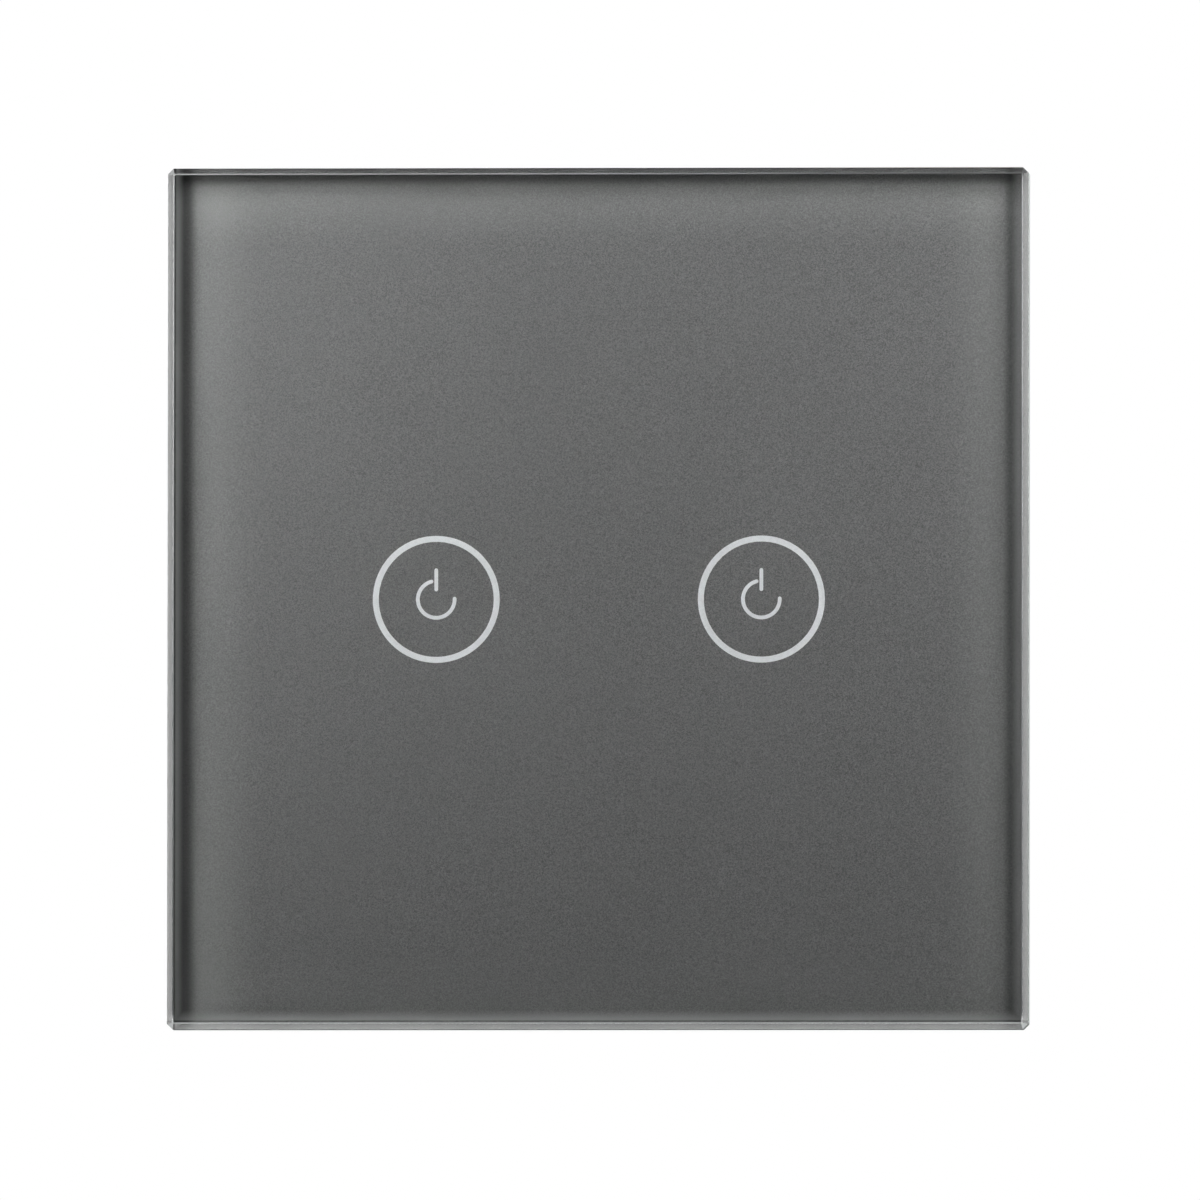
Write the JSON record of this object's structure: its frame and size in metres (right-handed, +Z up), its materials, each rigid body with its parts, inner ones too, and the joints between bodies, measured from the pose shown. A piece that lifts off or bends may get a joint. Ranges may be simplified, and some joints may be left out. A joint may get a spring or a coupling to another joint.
{
  "type": "touch light switch",
  "caption": "Flush-mounted wall switch with a square bevelled glass panel, ring-shaped touch points, a pull-off carrier, fixing yoke and a rear housing with relays and screw terminals.",
  "frame": {"origin": "centre of the yoke's back face, on the plane of the wall", "axes": "+X to the right seen from the front, +Y into the wall, +Z up; the glass faces -Y"},
  "size_m": [0.086, 0.0367, 0.086],
  "materials": {
    "clear_glass": "polished float glass, bevelled front edge",
    "grey_coat": "metallic grey coat behind the glass",
    "symbol_print": "light grey print, lets LED light through",
    "black_tape": "black foam tape",
    "charcoal_plastic": "fine-grained moulded plastic",
    "zinc_steel": "zinc-plated sheet steel",
    "white_plastic": "fine-grained moulded plastic",
    "screw_steel": "plated screw steel",
    "circuit_board": "green solder mask on glass fibre",
    "black_moulding": "black moulded plastic",
    "led_lens": "clear resin",
    "spring_bronze": "bright spring wire",
    "light_guide": "frosted light guide",
    "brass": "stamped brass",
    "yellow_case": "moulded capacitor case",
    "dark_sleeve": "shrunk sleeve on a can",
    "blue_resin": "dipped resin",
    "brown_body": "lacquered body",
    "relay_case": "smooth moulded case",
    "bobbin_plastic": "moulded bobbin",
    "copper_winding": "enamelled copper wire",
    "soft_iron": "bare soft iron"
  },
  "bodies": {
    "switch_body": {"mounting_yoke": "zinc_steel", "yoke_rivets": "zinc_steel", "front_cover": "white_plastic", "rear_housing": "white_plastic", "housing_screws": "screw_steel", "touch_board": "circuit_board", "touch_board_screws": "screw_steel", "touch_controller": "black_moulding", "ring_leds": "led_lens", "touch_spring_left": "spring_bronze", "touch_spring_right": "spring_bronze", "light_guide_left": "light_guide", "light_guide_right": "light_guide", "pin_header": "black_moulding", "header_pins": "brass", "header_socket": "black_moulding", "power_board": "circuit_board", "film_capacitor": "yellow_case", "reservoir_capacitor": "dark_sleeve", "varistor": "blue_resin", "fuse": "brown_body", "terminal_block": "black_moulding", "contact_tongues": "brass", "relay_base_left": "black_moulding", "relay_base_right": "black_moulding", "relay_cover_left": "relay_case", "relay_cover_right": "relay_case", "relay_bobbin_left": "bobbin_plastic", "relay_bobbin_right": "bobbin_plastic", "relay_coil_left": "copper_winding", "relay_coil_right": "copper_winding", "relay_iron_left": "soft_iron", "relay_iron_right": "soft_iron", "relay_pins_left": "screw_steel", "relay_pins_right": "screw_steel", "fixed_contact_left": "brass", "fixed_contact_right": "brass"},
    "front_panel": {"glass_panel": "clear_glass", "colour_coat": "grey_coat", "touch_symbols": "symbol_print", "adhesive_frame": "black_tape", "panel_carrier": "charcoal_plastic"},
    "armature_left": {"relay_armature_left": "soft_iron", "contact_arm_left": "brass"},
    "armature_right": {"relay_armature_right": "soft_iron", "contact_arm_right": "brass"},
    "screw_1": {"terminal_screw_1": "screw_steel"},
    "cage_1": {"clamp_cage_1": "brass"},
    "screw_2": {"terminal_screw_2": "screw_steel"},
    "cage_2": {"clamp_cage_2": "brass"},
    "screw_3": {"terminal_screw_3": "screw_steel"},
    "cage_3": {"clamp_cage_3": "brass"}
  },
  "joints": [
    {"name": "panel_release", "type": "slide", "parent": "switch_body", "child": "front_panel", "axis": [0, -1, 0], "range_m": [0, 0.03]},
    {"name": "armature_rock_left", "type": "hinge", "parent": "switch_body", "child": "armature_left", "pos_m": [-0.0059, 0.0167, -0.0088], "axis": [1, 0, 0], "range_deg": [0, 3], "stiffness_Nm_per_rad": 0.001, "springref_deg": -5.73},
    {"name": "armature_rock_right", "type": "hinge", "parent": "switch_body", "child": "armature_right", "pos_m": [0.0059, 0.0167, -0.0088], "axis": [1, 0, 0], "range_deg": [0, 3], "stiffness_Nm_per_rad": 0.001, "springref_deg": -5.73},
    {"name": "screw_turn_1", "type": "hinge", "parent": "switch_body", "child": "screw_1", "pos_m": [-0.0082, 0.015, -0.0181], "axis": [0, -1, 0], "range_deg": [0, 2594]},
    {"name": "cage_lift_1", "type": "slide", "parent": "switch_body", "child": "cage_1", "axis": [0, 1, 0], "range_m": [0, 0.0036]},
    {"name": "screw_turn_2", "type": "hinge", "parent": "switch_body", "child": "screw_2", "pos_m": [0, 0.015, -0.0181], "axis": [0, -1, 0], "range_deg": [0, 2594]},
    {"name": "cage_lift_2", "type": "slide", "parent": "switch_body", "child": "cage_2", "axis": [0, 1, 0], "range_m": [0, 0.0036]},
    {"name": "screw_turn_3", "type": "hinge", "parent": "switch_body", "child": "screw_3", "pos_m": [0.0082, 0.015, -0.0181], "axis": [0, -1, 0], "range_deg": [0, 2594]},
    {"name": "cage_lift_3", "type": "slide", "parent": "switch_body", "child": "cage_3", "axis": [0, 1, 0], "range_m": [0, 0.0036]}
  ],
  "couplings": [
    {"joint": "screw_turn_1", "follows": "cage_lift_1", "rad_per_m": 12566},
    {"joint": "screw_turn_2", "follows": "cage_lift_2", "rad_per_m": 12566},
    {"joint": "screw_turn_3", "follows": "cage_lift_3", "rad_per_m": 12566}
  ]
}
